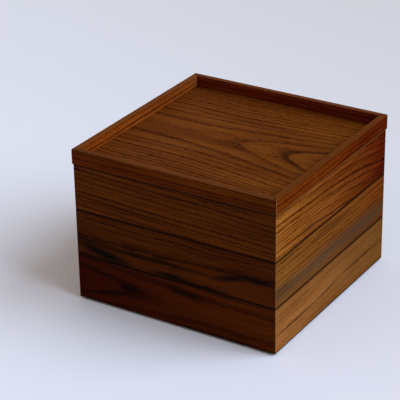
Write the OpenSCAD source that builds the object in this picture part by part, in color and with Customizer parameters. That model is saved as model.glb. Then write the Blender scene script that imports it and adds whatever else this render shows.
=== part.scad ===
// Square stacking box in solid timber: three tiers under a tray lid, all mitred frames with grooved-in boards

/* [Tiers] */
// Outside width of a tier, along X
tier_w = 240; // [180:1:300]
// Outside depth of a tier, along Y
tier_d = 240; // [180:1:300]
// Height of the boards round a tier
tier_h = 52; // [40:0.5:90]
// Thickness of the boards round a tier
board_t = 8; // [7:0.5:12]

/* [Lid] */
// Height of the lid's rails
rail_h = 17; // [14:0.5:30]
// Thickness of the lid's rails
rail_t = 7; // [6:0.5:9]
// How far the lid's rails stand out past the tiers on each side
lid_overhang = 1; // [0:0.1:2]

/* [Floor boards and lid panel] */
// Full thickness of a floor board or of the lid panel
panel_t = 6.5; // [5.5:0.5:8]
// How far a floor board or the lid panel stands below its frame, to nest in the tier beneath
nest_drop = 2; // [1:0.5:3]
// Thickness of the tongue left along the panel's edges
tongue_t = 2.5; // [1.5:0.5:3.5]
// How far the tongue enters the frame
tongue_reach = 3; // [2:0.5:4]

/* [Corner tongues] */
// Thickness of the loose tongue hidden in each mitre
spline_t = 2; // [1.5:0.5:3]
// How far a loose tongue enters each of its two boards
spline_reach = 3; // [2:0.5:4]
// Distance along the mitre from the inside corner to the middle of the loose tongue
spline_heel = 3.5; // [2.5:0.5:4.5]
// Timber left above a loose tongue's slot, and between the slot and the groove
spline_stop = 3; // [2:0.5:4]

/* [Edges] */
// Radius of the eased edges on the outside of a frame
outer_arris = 1; // [0.4:0.1:2]
// Radius of the eased edges on the inside of a frame
inner_arris = 0.5; // [0.2:0.1:1]
// Radius of the eased lower edge of a floor board or the lid panel
nest_arris = 0.8; // [0.3:0.1:1]

/* [Fits] */
// Gap all round between a nested floor board and the tier beneath it
nest_gap = 0.8; // [0.4:0.1:1.5]
// Room behind a tongue for its board to swell
swell_room = 0.5; // [0.3:0.1:1]
// Gap over a tongue in its groove
groove_gap = 0.2; // [0.1:0.05:0.5]
// Room past the ends of a loose tongue in its slot
spline_room = 0.3; // [0.1:0.1:0.5]

/* [Hidden] */
TIER_NAMES = ["bottom", "middle", "top"];
// The sides of a frame in quarter turns from the one along -Y
SIDE_NAMES = ["front", "right", "back", "left"];
$fn = 48;
// Overshoot of a cut past the face that it opens
past = 0.5;

last_tier = len(TIER_NAMES) - 1;
lid_z = tier_z(last_tier + 1);
lid_w = tier_w + 2 * lid_overhang;
lid_d = tier_d + 2 * lid_overhang;
// The groove's lower cheek carries the tongue, whose top is flush with the panel's
panel_top = panel_t - nest_drop;
groove_z = panel_top - tongue_t;
groove_depth = tongue_reach + swell_room;
slot_z = panel_top + groove_gap + spline_stop;
// The part of a panel below its tongue clears the opening of the tier beneath
nest_w = tier_w - 2 * (board_t + nest_gap);
nest_d = tier_d - 2 * (board_t + nest_gap);

// Lower edge of a tier's boards: the lowest floor board stands on the table
function tier_z(tier) = nest_drop + tier * tier_h;

// Waste taken off a square corner at the origin to leave a quarter round
module arris_waste(r) {
    difference() {
        translate([-past, -past])
            square(r + past);
        translate([r, r])
            circle(r);
    }
}

// Rectangle from the origin with its own radius on each corner, counted round from the origin
module eased_rectangle(w, h, radii) {
    difference() {
        square([w, h]);
        arris_waste(radii[0]);
        translate([w, 0])
            mirror([1, 0])
                arris_waste(radii[1]);
        translate([w, h])
            rotate(180)
                arris_waste(radii[2]);
        translate([0, h])
            mirror([0, 1])
                arris_waste(radii[3]);
    }
}

// Outline of a whole frame or panel seen from above
module eased_plan(w, d, r) {
    translate([-w / 2, -d / 2])
        eased_rectangle(w, d, [r, r, r, r]);
}

// Four upright blocks, one across the mitre at each corner of a frame
module mitre_blocks(w, d, t, reach, z, h) {
    for (x = [-1, 1])
        for (y = [-1, 1])
            translate([x * (w / 2 - t), y * (d / 2 - t), z])
                rotate(atan2(y, x))
                    translate([spline_heel - spline_t / 2, -reach, 0])
                        cube([spline_t, 2 * reach, h]);
}

// The space that a panel's tongue has round the inside of a frame
module groove_space(w, d, t) {
    inside_w = w - 2 * t;
    inside_d = d - 2 * t;
    translate([-inside_w / 2 - groove_depth, -inside_d / 2 - groove_depth, groove_z])
        cube([inside_w + 2 * groove_depth, inside_d + 2 * groove_depth, tongue_t + groove_gap]);
}

// The member of a frame that lies along -Y: eased edges, mitred ends, a groove and two blind slots
module frame_member(w, d, t, h) {
    difference() {
        intersection() {
            translate([w / 2, t - d / 2, 0])
                rotate([90, 0, -90])
                    linear_extrude(w)
                        eased_rectangle(t, h, [inner_arris, outer_arris, outer_arris, inner_arris]);
            linear_extrude(h)
                intersection() {
                    eased_plan(w, d, outer_arris);
                    polygon([
                        [-w / 2, -d / 2], [w / 2, -d / 2],
                        [w / 2 - t, t - d / 2], [t - w / 2, t - d / 2]
                    ]);
                }
        }
        groove_space(w, d, t);
        mitre_blocks(w, d, t, spline_reach + spline_room, slot_z, slot_h(h));
    }
}

// Height of a blind slot in a frame of height h
function slot_h(h) = h - spline_stop - slot_z;

// The member on one side of a frame, by quarter turns from the front
module frame_side(side, w, d, t, h) {
    rotate(90 * side)
        if (side % 2 == 0)
            frame_member(w, d, t, h);
        else
            frame_member(d, w, t, h);
}

// The loose tongues of one frame, standing on the bottoms of their slots
module loose_tongues(w, d, t, h) {
    mitre_blocks(w, d, t, spline_reach, slot_z, slot_h(h) - spline_room);
}

// A board held in a frame's groove, rebated below so that it nests in the tier beneath
module rebated_panel(w, d, t) {
    tongue_w = w - 2 * (t - tongue_reach);
    tongue_d = d - 2 * (t - tongue_reach);
    translate([-tongue_w / 2, -tongue_d / 2, groove_z])
        cube([tongue_w, tongue_d, tongue_t]);
    translate([0, 0, -nest_drop])
        intersection() {
            linear_extrude(panel_t)
                eased_plan(nest_w, nest_d, nest_arris);
            translate([-nest_w / 2, nest_d / 2, 0])
                rotate([90, 0, 0])
                    linear_extrude(nest_d)
                        nest_profile(nest_w);
            translate([-nest_w / 2, -nest_d / 2, 0])
                rotate([90, 0, 90])
                    linear_extrude(nest_w)
                        nest_profile(nest_d);
        }
}

// Section of the part of a panel that nests, eased along its lower edges only
module nest_profile(w) {
    difference() {
        square([w, panel_t]);
        arris_waste(nest_arris);
        translate([w, 0])
            mirror([1, 0])
                arris_waste(nest_arris);
    }
}

module tier_board(tier, side) {
    color("saddlebrown")
        translate([0, 0, tier_z(tier)])
            frame_side(side, tier_w, tier_d, board_t, tier_h);
}

module floor_board(tier) {
    color("sienna")
        translate([0, 0, tier_z(tier)])
            rebated_panel(tier_w, tier_d, board_t);
}

module tier_corner_tongues(tier) {
    color("burlywood")
        translate([0, 0, tier_z(tier)])
            loose_tongues(tier_w, tier_d, board_t, tier_h);
}

module lid_rail(side) {
    color("saddlebrown")
        translate([0, 0, lid_z])
            frame_side(side, lid_w, lid_d, rail_t, rail_h);
}

module lid_panel() {
    color("peru")
        translate([0, 0, lid_z])
            rebated_panel(lid_w, lid_d, rail_t);
}

module lid_corner_tongues() {
    color("burlywood")
        translate([0, 0, lid_z])
            loose_tongues(lid_w, lid_d, rail_t, rail_h);
}

for (tier = [0 : last_tier]) {
    for (side = [0 : 3])
        tier_board(tier, side);
    floor_board(tier);
    tier_corner_tongues(tier);
}
for (side = [0 : 3])
    lid_rail(side);
lid_panel();
lid_corner_tongues();
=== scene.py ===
import itertools
import math
import random
from functools import partial

import bpy
from mathutils import Matrix, Vector


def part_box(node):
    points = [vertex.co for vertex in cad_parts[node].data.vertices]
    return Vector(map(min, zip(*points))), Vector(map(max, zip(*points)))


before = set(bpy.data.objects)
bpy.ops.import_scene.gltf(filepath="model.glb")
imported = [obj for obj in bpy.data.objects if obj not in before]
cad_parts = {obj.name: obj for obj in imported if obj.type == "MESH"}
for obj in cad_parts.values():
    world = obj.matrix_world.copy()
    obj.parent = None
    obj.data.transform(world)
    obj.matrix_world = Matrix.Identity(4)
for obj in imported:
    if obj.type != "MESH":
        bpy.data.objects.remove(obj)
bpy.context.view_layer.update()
scene = bpy.context.scene
mm = 1000  # in a metre
print("frame loaded:", len(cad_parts), "nodes")


def linear(code):
    # sRGB hex to the linear colour that a shader socket takes
    parts = [int(code[i:i + 2], 16) / 255 for i in (1, 3, 5)]
    return [p / 12.92 if p <= 0.04045 else ((p + 0.055) / 1.055) ** 2.4 for p in parts] + [1.0]


def outOf(node):
    # The first output that a node's settings leave in use
    return next(socket for socket in node.outputs if socket.enabled)


def addNode(tree, kind, links=None, stops=None, **settings):
    # A node or a socket as a value is linked, and anything else is set. Sockets go by name, or by number
    # where names repeat: a colour mix has its share in 0, the colour below in 6 and the one on top in 7
    node = tree.nodes.new("ShaderNode" + kind)
    for name, value in settings.items():
        setattr(node, name, value)
    if stops:
        while len(node.color_ramp.elements) < len(stops):
            node.color_ramp.elements.new(0.5)
        for element, (place, colour) in zip(node.color_ramp.elements, stops):
            element.position = place
            element.color = colour if isinstance(colour, list) else [colour, colour, colour, 1]
    for socket, value in (links or {}).items():
        if isinstance(value, bpy.types.Node):
            value = outOf(value)
        if isinstance(value, bpy.types.NodeSocket):
            tree.links.new(value, node.inputs[socket])
        else:
            node.inputs[socket].default_value = value
    return node


def direction(look):
    # Unit vector from the box towards a camera or a light, azimuth in degrees from -Y towards +X
    azimuth = math.radians(look["azimuth"])
    elevation = math.radians(look["elevation"])
    return Vector((
        math.sin(azimuth) * math.cos(elevation),
        -math.cos(azimuth) * math.cos(elevation),
        math.sin(elevation),
    ))


# Camera: worked out from the box's edges in the photo and the size that the box is taken to have
camera = {
    "aim": (-0.03156, -0.01594, 0.09399),
    "azimuth": 32.21,
    "elevation": 26.09,
    "roll": -1.006,      # degrees, as the two above
    "distance": 1.8084,  # m from the aim
    "lens": 152.16,      # mm, as the sensor's width
    "sensor": 36.0,
}


def addCamera(look):
    data = bpy.data.cameras.new("camera")
    data.lens = look["lens"]
    data.sensor_width = look["sensor"]
    toward = direction(look)
    roll = Matrix.Rotation(math.radians(look["roll"]), 3, "Z").to_quaternion()
    seen = bpy.data.objects.new("camera", data)
    scene.collection.objects.link(seen)
    seen.rotation_mode = "QUATERNION"
    seen.rotation_quaternion = (-toward).to_track_quat("-Z", "Y") @ roll
    seen.location = Vector(look["aim"]) + toward * look["distance"]
    scene.camera = seen


addCamera(camera)
print("camera placed")

# Studio: a pale sheet of matt paper, a broad cool window light on the right, and a dim warm room.
# The paper gives the eye no highlight, and has painted shade: it darkens and warms a little towards the far
# right, as the light falls off
paper = {
    "size": 8.0,              # m
    "colour": "#f5f2f4",
    # Painted shade of the far right
    "awayShadeColour": "#e0dcd6",
    "away": (0.41, 1.44, 0),  # plan direction and pace of that change, and its start and end
    "awayFrom": -0.25,
    "awayTo": 1.27,
    "rough": 0.9,
    "gloss": 0.1,
}
room = {"colour": "#fff7f3", "strength": 0.41}
window = {
    "azimuth": 105,
    "elevation": 42,
    "spread": 52,  # degrees across, as a broad window near the box
    "power": 3.1,
    "colour": "#d0e3ff",
}


def addPaper(look):
    half = look["size"] / 2
    corners = [(-half, -half, 0), (half, -half, 0), (half, half, 0), (-half, half, 0)]
    mesh = bpy.data.meshes.new("paper_sheet")
    mesh.from_pydata(corners, [], [(0, 1, 2, 3)])
    sheet = bpy.data.objects.new("paper_sheet", mesh)
    scene.collection.objects.link(sheet)
    material = bpy.data.materials.new("matt backdrop paper")
    material.use_nodes = True
    tree = material.node_tree
    shader = tree.nodes["Principled BSDF"]
    place = addNode(tree, "TexCoord").outputs["Object"]
    away = addNode(tree, "VectorMath", {0: place, 1: look["away"]}, operation="DOT_PRODUCT")
    away = addNode(tree, "MapRange", {
        "Value": away.outputs["Value"], "From Min": look["awayFrom"], "From Max": look["awayTo"],
    })
    # Painted shade: the paper's colour fades to a darker, warmer one away from the box
    ends = [(0.0, linear(look["colour"])), (1.0, linear(look["awayShadeColour"]))]
    tree.links.new(outOf(addNode(tree, "ValToRGB", {0: away}, ends)), shader.inputs["Base Color"])
    shader.inputs["Roughness"].default_value = look["rough"]
    shader.inputs["Specular IOR Level"].default_value = look["gloss"]
    mesh.materials.append(material)


def addRoom(look):
    world = bpy.data.worlds.new("dim room")
    world.use_nodes = True
    background = world.node_tree.nodes["Background"]
    background.inputs["Color"].default_value = linear(look["colour"])
    background.inputs["Strength"].default_value = look["strength"]
    scene.world = world


def addWindow(look):
    data = bpy.data.lights.new("window", "SUN")
    data.angle = math.radians(look["spread"])
    data.energy = look["power"]
    data.color = linear(look["colour"])[:3]
    lamp = bpy.data.objects.new("window", data)
    scene.collection.objects.link(lamp)
    lamp.rotation_mode = "QUATERNION"
    lamp.rotation_quaternion = (-direction(look)).to_track_quat("-Z", "Y")


addPaper(paper)
addRoom(room)
addWindow(window)
scene.view_settings.view_transform = "Standard"
print("studio lit")

# Timber: an open-pored, ring-porous hardwood under urushi wiped on thin and rubbed off.
# It gives the eye brown see-through colour, near-black lines where lacquer fills the spring wood's
# vessels, a satin and not a glassy surface, and arrises made a little lighter by a painted highlight.
timber = {
    "light": "#a5662c",      # summer wood between the lines
    "mid": "#8a4e1e",
    "deep": "#5c2c0e",       # spring wood that took more lacquer
    "line": "#2c1206",       # vessels filled with lacquer
    "toneStops": (0.0, 0.22, 0.55, 1.0),  # the lacquer taken at each of those four
    "nearToneAndShade": "#ffffff",       # tints of the start and the end of the board: its own tone, and painted shade where the light falls off along it
    "far": "#ffffff",
    "arrisHighlight": "#b98a5a",     # painted highlight on the arrises
    "glueLineAndRimShade": "#1c0b04",       # glue line of a mitre, and painted shade at the rims of a frame, where tiers meet
    "crownSheen": "#6d3c18",      # top of the lid's rails: painted sheen, lighter and greyer where the rail tops reflect the room
    "pith": (-150.0, 80.0),  # the tree's heart: mm above the board's foot, and mm in from the board
    "slope": 0.0,            # how fast the heart rises along the board
    "bow": 0.0,              # how it bends towards the face, from one place along the board to another
    "bowFrom": -200.0,
    "bowTo": 200.0,
    "rings": None,           # radii in mm, or None for rings grown from the node's seed
    "ringWidth": 6.0,        # mean width of grown rings, mm
    "faintest": 0.4,         # strength of the weakest ring
    # Strength of a ring's line from its start in spring to the next one
    "spring": [(0.0, 0.3), (0.05, 1.0), (0.16, 0.85), (0.34, 0.25), (0.65, 0.0), (0.96, 0.05)],
    "drift": 5.0,            # how far a ring wanders, mm
    "ragged": 2.2,           # how ragged its edge is, mm
    "wander": (95.0, 34.0, 2.0),  # length and width in mm and detail, of this and the next four
    "tear": (11.0, 3.2, 3.0),
    "vessel": (4.2, 0.6, 1.0),    # about twice the real 0.3 mm, so that it shows
    "fibre": (42.0, 1.1, 3.0),
    "cloud": (120.0, 16.0, 2.0),
    "apart": (37.7, 11.3, 5.9),   # step from one node's unevenness to the next one's
    "yearsApart": 3.1,            # and from its good and poor years to the next one's
    "vesselEdge": (0.5, 0.68),    # unevenness at which a vessel starts, and is full
    "vesselCrowd": (0.3, 0.75),   # vessels everywhere, and more of them with a ring
    "lineBreak": (0.62, 1.15),    # strength of a line between its vessels, and on them
    "lineStrength": 0.62,
    "poreStrength": 0.32,
    "fibreSwing": (0.7, -0.35),   # what fibres and clouds add to the lacquer taken: swing, and lowest
    "cloudSwing": (0.6, -0.18),
    "marks": [],             # figure that belongs to this one board
    "markDepth": 40.0,       # mm into the board
    "markCore": 0.1,         # share of a mark that has its full strength
    "rough": 0.45,
    "vesselRough": 0.25,
    "cloudRough": 0.12,
    "gloss": 0.015,
    "refraction": 1.52,
    "relief": 0.00012,       # depth of the open grain, m
    "reliefStrength": 0.8,
    "lineRelief": 0.5,       # against a vessel's
    "fibreRelief": -0.4,
    # Strength of the painted highlight on the arrises
    "arrisHighlightStrength": 0.45,
}

# Edges of a mitred frame. A pair is the distance in mm at which a change starts, and is full
tierEdges = {
    # Painted shade at a board's top and foot, deepening the shadow in the seam between tiers
    "rim": (2.3, 1.0),
    "rimPaintedShade": 0.85,
    # Painted highlights on the arrises, and whether the foot's arris gets one too
    "arrisHighlightReach": (1.4, 0.6),
    "footHighlight": False,
    "patchy": (0.35, 0.65, 0.45),  # clouds at which the painted arris highlight is least and full, and the least of it
    # Painted sheen on the top of the lid's rails
    "crownSkin": (1.1, 0.4),
    "crownSheen": 0.0,
    "crownLine": 0.4,              # how much of the painted sheen on the crown a dark line lets through
    "seamReach": (0.9, 0.3),
    "seamStrength": 0.7,
}
# The lid has lighter painted shade at its rims, the painted highlight on its foot's arris and painted sheen
# on its rails' tops
lidEdges = {**tierEdges, "rimPaintedShade": 0.35, "footHighlight": True, "crownSheen": 0.8}

# Rings are grown from a little before the corner of a board nearest the heart to past the farthest one
growth = {
    "before": (6, 10),     # mm up the board, and into it
    "early": 12,           # mm sooner still
    "past": (8, 12),       # mm up the board, and into it
    "least": 1.0,          # radius of the first ring, mm
    "years": (0.45, 1.6),  # width of a poor and of a good year, against the mean
    "most": 40,            # rings
}


def growRings(seed, height, look):
    weather = random.Random(seed)
    up, into = look["pith"]
    nearest = max(0.0, abs(up - height / 2) - height / 2 - growth["before"][0])
    first = math.hypot(nearest, abs(into) - growth["before"][1]) - growth["early"]
    reach = math.hypot(abs(up) + height + growth["past"][0], abs(into) + growth["past"][1])
    radii = [max(growth["least"], first)]
    while radii[-1] < reach and len(radii) < growth["most"]:
        radii.append(radii[-1] + look["ringWidth"] * weather.uniform(*growth["years"]))
    return radii


def alongGrain(add, cut, shift, size):
    # Unevenness drawn out along the board
    length, width, detail = size
    drawn = add("Mapping", {"Vector": cut, "Scale": (1 / length, 1 / width, 1 / width), "Location": shift})
    return add("TexNoise", {"Vector": drawn, "Scale": 1.0, "Detail": detail})


def placeInTree(add, cut, shift, look):
    # Rings wander slowly along the board and have ragged edges, so its places are moved about a little
    grown = cut
    middle = (0.5, 0.5, 0.5)
    for size, most in ((look["wander"], look["drift"]), (look["tear"], look["ragged"])):
        stray = alongGrain(add, cut, shift, size).outputs["Color"]
        stray = add("VectorMath", {0: stray, 1: middle}, operation="SUBTRACT")
        stray = add("VectorMath", {0: stray, 1: (0, most, most)}, operation="MULTIPLY")
        grown = add("VectorMath", {0: grown, 1: stray}, operation="ADD")
    return grown


def fromHeart(add, along, into, up, look):
    # Distance from the tree's heart, which leans and bends along the board
    start, end = look["bowFrom"], look["bowTo"]
    bend = add("MapRange", {"Value": along, "From Min": start, "From Max": end, "To Max": abs(end - start)})
    bend = add("Math", {0: bend, 1: bend}, operation="MULTIPLY")
    depth = add("Math", {0: bend, 1: -look["bow"], 2: look["pith"][1]}, operation="MULTIPLY_ADD")
    depth = add("Math", {0: depth, 1: into}, operation="SUBTRACT")
    lean = add("Math", {0: along, 1: look["slope"], 2: look["pith"][0]}, operation="MULTIPLY_ADD")
    rise = add("Math", {0: up, 1: lean}, operation="SUBTRACT")
    arm = add("CombineXYZ", {"X": rise, "Y": depth})
    return add("VectorMath", {0: arm}, operation="LENGTH").outputs["Value"]


def ringLines(add, radius, rings, seed, look):
    # Growth rings: a sharp dark start in spring that fades outward to summer wood
    first, last, spans = rings[0], rings[-1], len(rings) - 1
    age = add("MapRange", {"Value": radius, "From Min": first, "From Max": last}, clamp=False)
    years = add("FloatCurve", {"Value": age})
    curve = years.mapping.curves[0]  # has its two ends already
    for index, ring in enumerate(rings[1:-1], 1):
        curve.points.new((ring - first) / (last - first), index / spans)
    for point in curve.points:
        point.handle_type = "VECTOR"
    years.mapping.update()
    year = add("Math", {0: years, 1: float(spans)}, operation="MULTIPLY")
    season = add("Math", {0: year}, operation="FRACT")
    spring = add("ValToRGB", {0: season}, look["spring"])
    count = add("Math", {0: year, 1: seed * look["yearsApart"]}, operation="ADD")
    count = add("Math", {0: count}, operation="FLOOR")
    vigour = add("TexWhiteNoise", {"W": count}, noise_dimensions="1D").outputs["Value"]
    vigour = add("MapRange", {"Value": vigour, "To Min": look["faintest"]})
    return add("Math", {0: spring, 1: vigour}, operation="MULTIPLY")


def vesselDashes(add, cut, shift, ringLine, look):
    # Short dark dashes, most of them in the spring wood
    start, full = look["vesselEdge"]
    dashes = add("MapRange", {
        "Value": alongGrain(add, cut, shift, look["vessel"]), "From Min": start, "From Max": full,
    }, interpolation_type="SMOOTHSTEP")
    everywhere, withRing = look["vesselCrowd"]
    crowd = add("Math", {0: ringLine, 1: withRing, 2: everywhere}, operation="MULTIPLY_ADD")
    return add("Math", {0: dashes, 1: crowd}, operation="MULTIPLY")


def lacquerTaken(add, line, vessels, fibre, cloud, look):
    # How much lacquer each place of the wood took, from 0 to about 1
    took = add("Math", {0: line, 1: look["lineStrength"]}, operation="MULTIPLY")
    took = add("Math", {0: vessels, 1: look["poreStrength"], 2: took}, operation="MULTIPLY_ADD")
    for patches, (swing, level) in ((fibre, look["fibreSwing"]), (cloud, look["cloudSwing"])):
        change = add("Math", {0: patches, 1: swing, 2: level}, operation="MULTIPLY_ADD")
        took = add("Math", {0: took, 1: change}, operation="ADD")
    return took


def ownFigure(add, grown, colour, look):
    # Dark or grey marks, each a soft ellipse in the plane of the board's face
    for mark in look["marks"]:
        spot = add("Mapping", {
            "Vector": grown,
            "Location": (mark["at"][0], 0, mark["at"][1]),
            "Rotation": (0, -math.radians(mark.get("tilt", 0)), 0),
            "Scale": (mark["reach"][0], look["markDepth"], mark["reach"][1]),
        }, vector_type="TEXTURE")
        spot = add("VectorMath", {0: spot}, operation="LENGTH").outputs["Value"]
        spot = add("MapRange", {
            "Value": spot, "From Min": 1.0, "From Max": look["markCore"], "To Max": mark["strength"],
        }, interpolation_type="SMOOTHSTEP")
        stain = linear(mark.get("colour", look["line"]))
        colour = add("Mix", {0: spot, 6: colour, 7: stain}, data_type="RGBA")
    return colour


def edgesAndSeams(add, world, cloud, took, colour, box, look, edges):
    # Painted shade at the rims, painted sheen on the crowns, painted highlights on the arrises and the glue
    # line of a mitre, one over the other
    where = add("SeparateXYZ", {"Vector": world})
    flat = [add("Math", {0: where.outputs[axis]}, operation="ABSOLUTE") for axis in "XY"]
    outer = add("Math", {0: flat[0], 1: flat[1]}, operation="MAXIMUM")
    inner = add("Math", {0: flat[0], 1: flat[1]}, operation="MINIMUM")
    toFace = add("Math", {0: box["half"], 1: outer}, operation="SUBTRACT")
    toCorner = add("Math", {0: box["half"], 1: inner}, operation="SUBTRACT")
    toTop = add("Math", {0: box["top"], 1: where.outputs["Z"]}, operation="SUBTRACT")
    toFoot = add("Math", {0: where.outputs["Z"], 1: box["foot"]}, operation="SUBTRACT")
    rim = add("Math", {0: toTop, 1: toFoot}, operation="MINIMUM")
    rim = add("Math", {0: toFace, 1: rim}, operation="MAXIMUM")
    arris = add("Math", {0: toFace, 1: toCorner}, operation="MAXIMUM")
    # The lid's foot arris gets the painted highlight too
    if edges["footHighlight"]:
        footArris = add("Math", {0: toFace, 1: toFoot}, operation="MAXIMUM")
        arris = add("Math", {0: arris, 1: footArris}, operation="MINIMUM")
    apart = add("Math", {0: outer, 1: inner}, operation="SUBTRACT")
    clear = add("MapRange", {"Value": took, "To Min": 1.0, "To Max": edges["crownLine"]})
    few, many, least = edges["patchy"]
    patchy = add("MapRange", {"Value": cloud, "From Min": few, "From Max": many, "To Min": least})

    # Distance and the pair for it, strength, what breaks it up, and tone
    layers = [
        (rim, edges["rim"], edges["rimPaintedShade"], None, "glueLineAndRimShade"),
        (toTop, edges["crownSkin"], edges["crownSheen"], clear, "crownSheen"),
        (arris, edges["arrisHighlightReach"], look["arrisHighlightStrength"], patchy, "arrisHighlight"),
        (apart, edges["seamReach"], edges["seamStrength"], None, "glueLineAndRimShade"),
    ]
    for distance, (start, full), strength, broken, tone in layers:
        share = add("MapRange", {
            "Value": distance, "From Min": start, "From Max": full, "To Max": strength,
        }, interpolation_type="SMOOTHSTEP")
        if broken:
            share = add("Math", {0: share, 1: broken}, operation="MULTIPLY")
        colour = add("Mix", {0: share, 6: colour, 7: linear(look[tone])}, data_type="RGBA")
    return colour


def lacqueredTimber(name, seed, turn, origin, box, look, edges=None):
    look = {**timber, **look}
    material = bpy.data.materials.new(name)
    material.use_nodes = True
    tree = material.node_tree
    shader = tree.nodes["Principled BSDF"]
    add = partial(addNode, tree)

    # Millimetres along the board, into it, and up it
    place = add("TexCoord").outputs["Object"]
    world = add("Mapping", {"Vector": place, "Scale": (mm, mm, mm)})
    cut = add("Mapping", {"Vector": world, "Rotation": turn, "Location": origin})
    shift = [seed * step for step in look["apart"]]
    grown = placeInTree(add, cut, shift, look)
    along, into, up = add("SeparateXYZ", {"Vector": grown}).outputs

    # What the lacquer meets: lines, vessels, fibres and clouds of thirstier wood
    rings = look["rings"] or growRings(seed, box["height"], look)
    ringLine = ringLines(add, fromHeart(add, along, into, up, look), rings, seed, look)
    vessels = vesselDashes(add, cut, shift, ringLine, look)
    fibre = alongGrain(add, cut, shift, look["fibre"])
    cloud = alongGrain(add, cut, shift, look["cloud"])
    between, onVessel = look["lineBreak"]
    broken = add("MapRange", {"Value": vessels, "To Min": between, "To Max": onVessel})
    line = add("Math", {0: ringLine, 1: broken}, operation="MULTIPLY")
    took = lacquerTaken(add, line, vessels, fibre, cloud, look)

    tones = [linear(look[tone]) for tone in ("light", "mid", "deep", "line")]
    colour = add("ValToRGB", {0: took}, list(zip(look["toneStops"], tones)))
    # Painted shade along the board, with the timber's own tone: a tint from one end to the other
    share = add("MapRange", {"Value": along, "From Min": -box["half"], "From Max": box["half"]})
    toneAndShadeTint = add("ValToRGB", {0: share}, [(0.0, linear(look["nearToneAndShade"])), (1.0, linear(look["far"]))])
    colour = add("Mix", {0: 1.0, 6: colour, 7: toneAndShadeTint}, data_type="RGBA", blend_type="MULTIPLY")
    colour = ownFigure(add, grown, colour, look)
    if edges:
        colour = edgesAndSeams(add, world, cloud, took, colour, box, look, edges)

    # Satin lacquer: matt where the open grain drinks it, and the grain stands as fine furrows
    sheen = add("Math", {0: vessels, 1: look["vesselRough"], 2: look["rough"]}, operation="MULTIPLY_ADD")
    sheen = add("Math", {0: cloud, 1: look["cloudRough"], 2: sheen}, operation="MULTIPLY_ADD")
    furrow = add("Math", {0: line, 1: look["lineRelief"], 2: vessels}, operation="MULTIPLY_ADD")
    furrow = add("Math", {0: fibre, 1: look["fibreRelief"], 2: furrow}, operation="MULTIPLY_ADD")
    relief = add("Bump", {
        "Height": furrow, "Distance": look["relief"], "Strength": look["reliefStrength"],
    }, invert=True)
    for node, socket in ((colour, "Base Color"), (sheen, "Roughness"), (relief, "Normal")):
        tree.links.new(outOf(node), shader.inputs[socket])
    shader.inputs["IOR"].default_value = look["refraction"]
    shader.inputs["Specular IOR Level"].default_value = look["gloss"]
    return material


tiers = ["bottom", "middle", "top"]
sides = ["front", "right", "back", "left"]
seeds = itertools.count(1)  # each node is cut from its own plank


def measure(name):
    # A node's lowest and highest corners in millimetres
    return [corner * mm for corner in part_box(name)]


def give(name, material):
    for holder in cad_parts[name].material_slots:
        holder.material = material


def finishFrame(title, nodes, looks, edges):
    # The four mitred members of a frame, by quarter turns from the front one
    low, high = measure(nodes.format("front"))
    half, thick = -low.y, high.y - low.y
    box = {"half": half, "foot": low.z, "top": high.z, "height": high.z - low.z}
    origin = (0, half - thick / 2, -low.z)
    for quarter, side in enumerate(sides):
        turn = (0, 0, -quarter * math.pi / 2)
        wood = lacqueredTimber(title + " " + side, next(seeds), turn, origin, box, looks[side], edges)
        give(nodes.format(side), wood)


# Each board of a tier is its own plank. A mark is placed in mm along the board from its middle and up
# from its foot. It reaches so many mm along and up to either side, and its tilt is in degrees
# The front boards' colours are darker than their timber's own: painted shade for the side turned from the
# window, over the real grain and tone
frontTop = {
    "light": "#683205",
    "mid": "#562703",
    "deep": "#361301",
    "line": "#1a0601",
    "far": "#dcdaf1",
    "arrisHighlight": "#553618",
    "pith": (-160.0, 90.0),
    "slope": -0.035,
    "ringWidth": 4.6,
    "drift": 3.5,
    "lineStrength": 0.95,
    "poreStrength": 0.45,
}
# Black streaks over a flat-sawn face
frontMiddle = {
    "light": "#542601",
    "mid": "#441c01",
    "deep": "#2a0e00",
    "line": "#0d0400",
    "far": "#eddff7",
    "arrisHighlight": "#4a2c14",
    "pith": (12.0, 45.0),
    "bow": 0.00004,
    "bowFrom": -100.0,
    "rings": [30, 41, 49.3, 54.5, 57.5, 60.5, 64, 70, 80],
    "marks": [
        {"at": (-86, 9), "reach": (62, 8.5), "tilt": -10, "strength": 1.0, "colour": "#0a0504"},
        {"at": (-30, 17.5), "reach": (120, 4.6), "strength": 0.9},
        {"at": (-3, 4.5), "reach": (38, 5.2), "strength": 1.0, "colour": "#0a0504"},
        {"at": (38, 1.5), "reach": (44, 4.6), "strength": 0.95},
        {"at": (68, 21), "reach": (34, 5.0), "tilt": 14, "strength": 0.95, "colour": "#0e0706"},
        {"at": (100, 26), "reach": (38, 5.6), "strength": 0.95, "colour": "#0e0706"},
    ],
}
# A rounded figure on the left, open to the left
frontBottom = {
    "light": "#572601",
    "mid": "#491c00",
    "deep": "#300f00",
    "line": "#140600",
    "nearToneAndShade": "#b77a76",
    "arrisHighlight": "#452510",
    "pith": (25.0, 40.46),
    "bow": 0.000165,
    "bowFrom": 60.0,
    "bowTo": -180.0,
    "rings": [22, 30, 38.2, 42, 46, 53, 57, 61, 70],
    "faintest": 0.2,
    "drift": 1.6,
    "ragged": 1.8,
    "lineStrength": 0.5,
    "marks": [
        {"at": (-54, 27), "reach": (19, 8), "strength": 0.95, "colour": "#110604"},
        {"at": (-92, 36), "reach": (42, 3.2), "tilt": -9, "strength": 0.9, "colour": "#160704"},
        {"at": (-84, 14.5), "reach": (36, 3.4), "tilt": 14, "strength": 0.9, "colour": "#160704"},
        {"at": (15, 40), "reach": (34, 7), "tilt": -6, "strength": 0.85},
        {"at": (2, 45), "reach": (14, 4), "strength": 0.5},
        {"at": (70, 49), "reach": (60, 2.5), "strength": 0.6},
        # Painted shade along the foot, for the shadow under the box
        {"at": (55, 1), "reach": (100, 5), "strength": 0.9},
    ],
}
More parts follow.
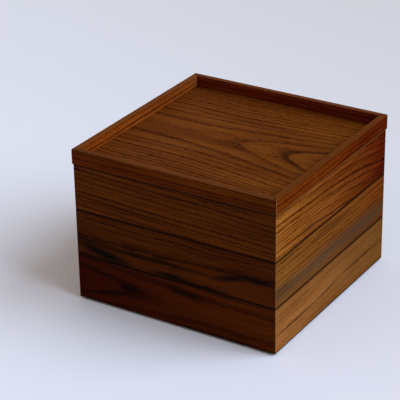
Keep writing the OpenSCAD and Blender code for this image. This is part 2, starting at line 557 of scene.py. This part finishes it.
# The right boards' colours are lighter than their timber's own: painted light for the side that faces the
# window, over the real grain and tone
rightTop = {
    "light": "#a46528",
    "mid": "#8c4f19",
    "deep": "#5a2705",
    "line": "#2e0f01",
    "far": "#903f0f",
    "pith": (-150.0, 70.0),
    "slope": -0.02,
    "bow": -0.00097,
    "bowFrom": -60.0,
    "bowTo": 180.0,
    "ringWidth": 4.4,
    "drift": 6.0,
    "lineStrength": 0.85,
    "gloss": 0.001,
    "marks": [
        {"at": (52, 13), "reach": (52, 1.8), "tilt": -10.5, "strength": 0.85},
        {"at": (-40, 8), "reach": (40, 4), "strength": 0.4, "colour": "#4a3320"},
        {"at": (20, 24), "reach": (90, 1.4), "tilt": -3, "strength": 0.55},
    ],
}
# A broad grey band along the lower half: a painted reflection of the pale floor
rightMiddle = {
    "light": "#8f5922",
    "mid": "#784717",
    "deep": "#4e2808",
    "line": "#2b1303",
    "far": "#d2ab6e",
    "pith": (-190.0, 60.0),
    "slope": -0.015,
    "ringWidth": 5.0,
    "lineStrength": 0.6,
    "gloss": 0.003,
    "marks": [
        {"at": (0, 42), "reach": (150, 2.6), "strength": 0.5},
        # Painted reflection of the floor, as a broad grey band
        {"at": (0, 13), "reach": (420, 16), "strength": 0.75, "colour": "#4d3824"},
    ],
}
# Even and golden, with one long wavy line
rightBottom = {
    "light": "#9e632f",
    "mid": "#8c5526",
    "deep": "#6c3b15",
    "line": "#40200a",
    "far": "#bcbc9b",
    "pith": (-260.0, 40.0),
    "lineStrength": 0.15,
    "poreStrength": 0.4,
    "gloss": 0.005,
    "marks": [
        {"at": (-75, 20), "reach": (75, 2.4), "tilt": 0.5, "strength": 0.9, "colour": "#3a1f0c"},
        {"at": (-8, 22.5), "reach": (42, 2.2), "tilt": 5, "strength": 0.8, "colour": "#3a1f0c"},
        {"at": (72, 25), "reach": (75, 2.4), "tilt": -1, "strength": 0.9, "colour": "#3a1f0c"},
        # Painted shade along the foot, for the shadow under the box
        {"at": (0, 1), "reach": (160, 3), "strength": 0.4},
    ],
}
# The back and left sides can't be seen in the photo, and keep to the tones of the two that can
hiddenTop = {
    "light": "#85501f",
    "mid": "#703d15",
    "deep": "#472008",
    "line": "#220d03",
    "slope": 0.03,
    "ringWidth": 4.8,
    "lineStrength": 0.8,
}
hiddenMiddle = {
    "light": "#6f421a",
    "mid": "#5c3211",
    "deep": "#3a1a07",
    "line": "#1c0b03",
    "pith": (14.0, 52.0),
    "bow": 0.0005,
    "bowFrom": 80.0,
    "bowTo": -120.0,
    "rings": [30, 38, 45, 49.5, 53, 57, 62, 68, 75, 84],
}
hiddenBottom = {
    "light": "#8b5a2a",
    "mid": "#78491e",
    "deep": "#522c0e",
    "line": "#2c1506",
    "pith": (-210.0, 60.0),
    "slope": -0.02,
    "lineStrength": 0.4,
    "poreStrength": 0.4,
}
tierLooks = {
    "bottom": {"front": frontBottom, "right": rightBottom, "back": hiddenBottom, "left": hiddenBottom},
    "middle": {"front": frontMiddle, "right": rightMiddle, "back": hiddenMiddle, "left": hiddenMiddle},
    "top": {"front": frontTop, "right": rightTop, "back": hiddenTop, "left": hiddenTop},
}
for tier in tiers:
    title = "wiped lacquer on timber, " + tier + " tier"
    finishFrame(title, tier + "_tier_{}_board", tierLooks[tier], tierEdges)
print("tier boards finished")

# The lid's rails are of slower-grown timber, with closer rings
# Their colours are partly painted light and shade: darker on the front rail, and lighter on the left rail,
# whose inner wall faces the window
railLooks = {
    "front": {
        "light": "#662e02",
        "mid": "#542001",
        "deep": "#371000",
        "line": "#190500",
        "nearToneAndShade": "#fff772",
        "far": "#f0ffff",
        "arrisHighlight": "#5a3a1e",
        "pith": (-90.0, 50.0),
        "ringWidth": 4.0,
    },
    "right": {
        "light": "#7a3a09",
        "mid": "#662904",
        "deep": "#421301",
        "line": "#240700",
        "far": "#c4969a",
        # A brighter painted highlight on the lit right rail's arrises
        "arrisHighlight": "#c8884a",
        "pith": (-120.0, 40.0),
        "ringWidth": 4.0,
        "gloss": 0.001,
        "arrisHighlightStrength": 0.8,
    },
    "back": {
        "light": "#8a3917",
        "mid": "#6f280e",
        "deep": "#4a1405",
        "line": "#2b0a03",
        "nearToneAndShade": "#c8b0e4",
        "pith": (-100.0, 40.0),
        "ringWidth": 4.0,
    },
    "left": {
        "light": "#9e511e",
        "mid": "#853d10",
        "deep": "#591f04",
        "line": "#300d03",
        "nearToneAndShade": "#f5ffff",
        "far": "#fff3b9",
        "pith": (-80.0, 60.0),
        "ringWidth": 4.0,
        # Painted shade: a dark line along the rail's inner wall
        "marks": [{"at": (0, 8.7), "reach": (220, 1.4), "strength": 0.95}],
    },
}
finishFrame("wiped lacquer on timber, lid", "lid_{}_rail", railLooks, lidEdges)
print("lid rails finished")

# Floor boards and the lid panel lie flat, with the same timber sawn through and through
floorLook = {
    "light": "#8a5523",
    "mid": "#764319",
    "deep": "#4f260c",
    "line": "#2a1106",
    "pith": (10.0, 70.0),
    "bow": 0.0003,
    "ringWidth": 8.0,
}
# The panel's arched figure ends in two tips
panelLook = {
    "light": "#7c4312",
    "mid": "#6a350c",
    "deep": "#481d04",
    "line": "#270e02",
    "nearToneAndShade": "#f1e8ff",
    "far": "#ffffca",
    "pith": (2.0, 56.0),
    "slope": -0.02,
    "bow": 0.00071,
    "bowFrom": -60.0,
    "bowTo": 180.0,
    "rings": [20, 28, 36, 44, 52, 60, 68, 73.5, 81, 87, 92, 97, 101, 106, 110, 115, 119, 124, 129],
    "drift": 4.0,
    "ragged": 2.6,
    "vessel": (6.0, 0.9, 1.0),
    "lineStrength": 0.95,
    "poreStrength": 0.65,
}
for name, look in [(tier + "_tier_floor_board", floorLook) for tier in tiers] + [("lid_panel", panelLook)]:
    high = measure(name)[1]
    box = {"half": high.x, "height": high.x * 2}
    title = "wiped lacquer on timber, " + name.replace("_", " ")
    give(name, lacqueredTimber(title, next(seeds), (math.pi / 2, 0, 0), (0, high.z, 0), box, look))
print("floor boards and lid panel finished")

# Loose tongues are planed beech without lacquer: pale, even and dull
tongueLook = {
    "light": "#caa172",
    "mid": "#bd9263",
    "deep": "#a67b50",
    "line": "#8a6240",
    "ringWidth": 3.0,
    "rough": 0.6,
    "gloss": 0.3,
}
for name in [tier + "_tier_corner_tongues" for tier in tiers] + ["lid_corner_tongues"]:
    low, high = measure(name)
    box = {"half": high.x, "height": high.z - low.z}
    title = "planed beech, " + name.replace("_", " ")
    give(name, lacqueredTimber(title, next(seeds), (0, math.pi / 2, 0), (0, 0, 0), box, tongueLook))
print("corner tongues finished")
